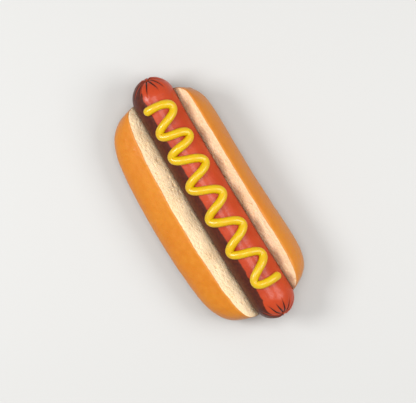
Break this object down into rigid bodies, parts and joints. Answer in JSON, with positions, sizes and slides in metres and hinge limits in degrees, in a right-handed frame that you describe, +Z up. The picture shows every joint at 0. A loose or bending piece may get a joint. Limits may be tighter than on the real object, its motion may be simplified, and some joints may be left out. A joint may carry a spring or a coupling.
{
  "type": "hot dog",
  "caption": "Hot dog: a frankfurter with gathered ends in a soft bun that is slit along its top and opened wide, with mustard piped in a zigzag along it.",
  "frame": {"origin": "middle of the bounding box's underside, on the surface that the bun rests on", "axes": "+X along the sausage, +Y across it towards the bun's steeper and narrower side, +Z up"},
  "size_m": [0.164, 0.0702, 0.0396],
  "materials": {
    "crust": "baked bun crust, golden brown with a soft sheen",
    "crumb": "cut white bread, matt and finely porous",
    "sausage": "browned sausage skin, moist and glossy, seared dark along one flank",
    "mustard": "smooth yellow mustard, wet and glossy"
  },
  "bodies": {
    "root": {"bun": "crust", "sausage": "sausage", "mustard": "mustard"}
  },
  "joints": []
}
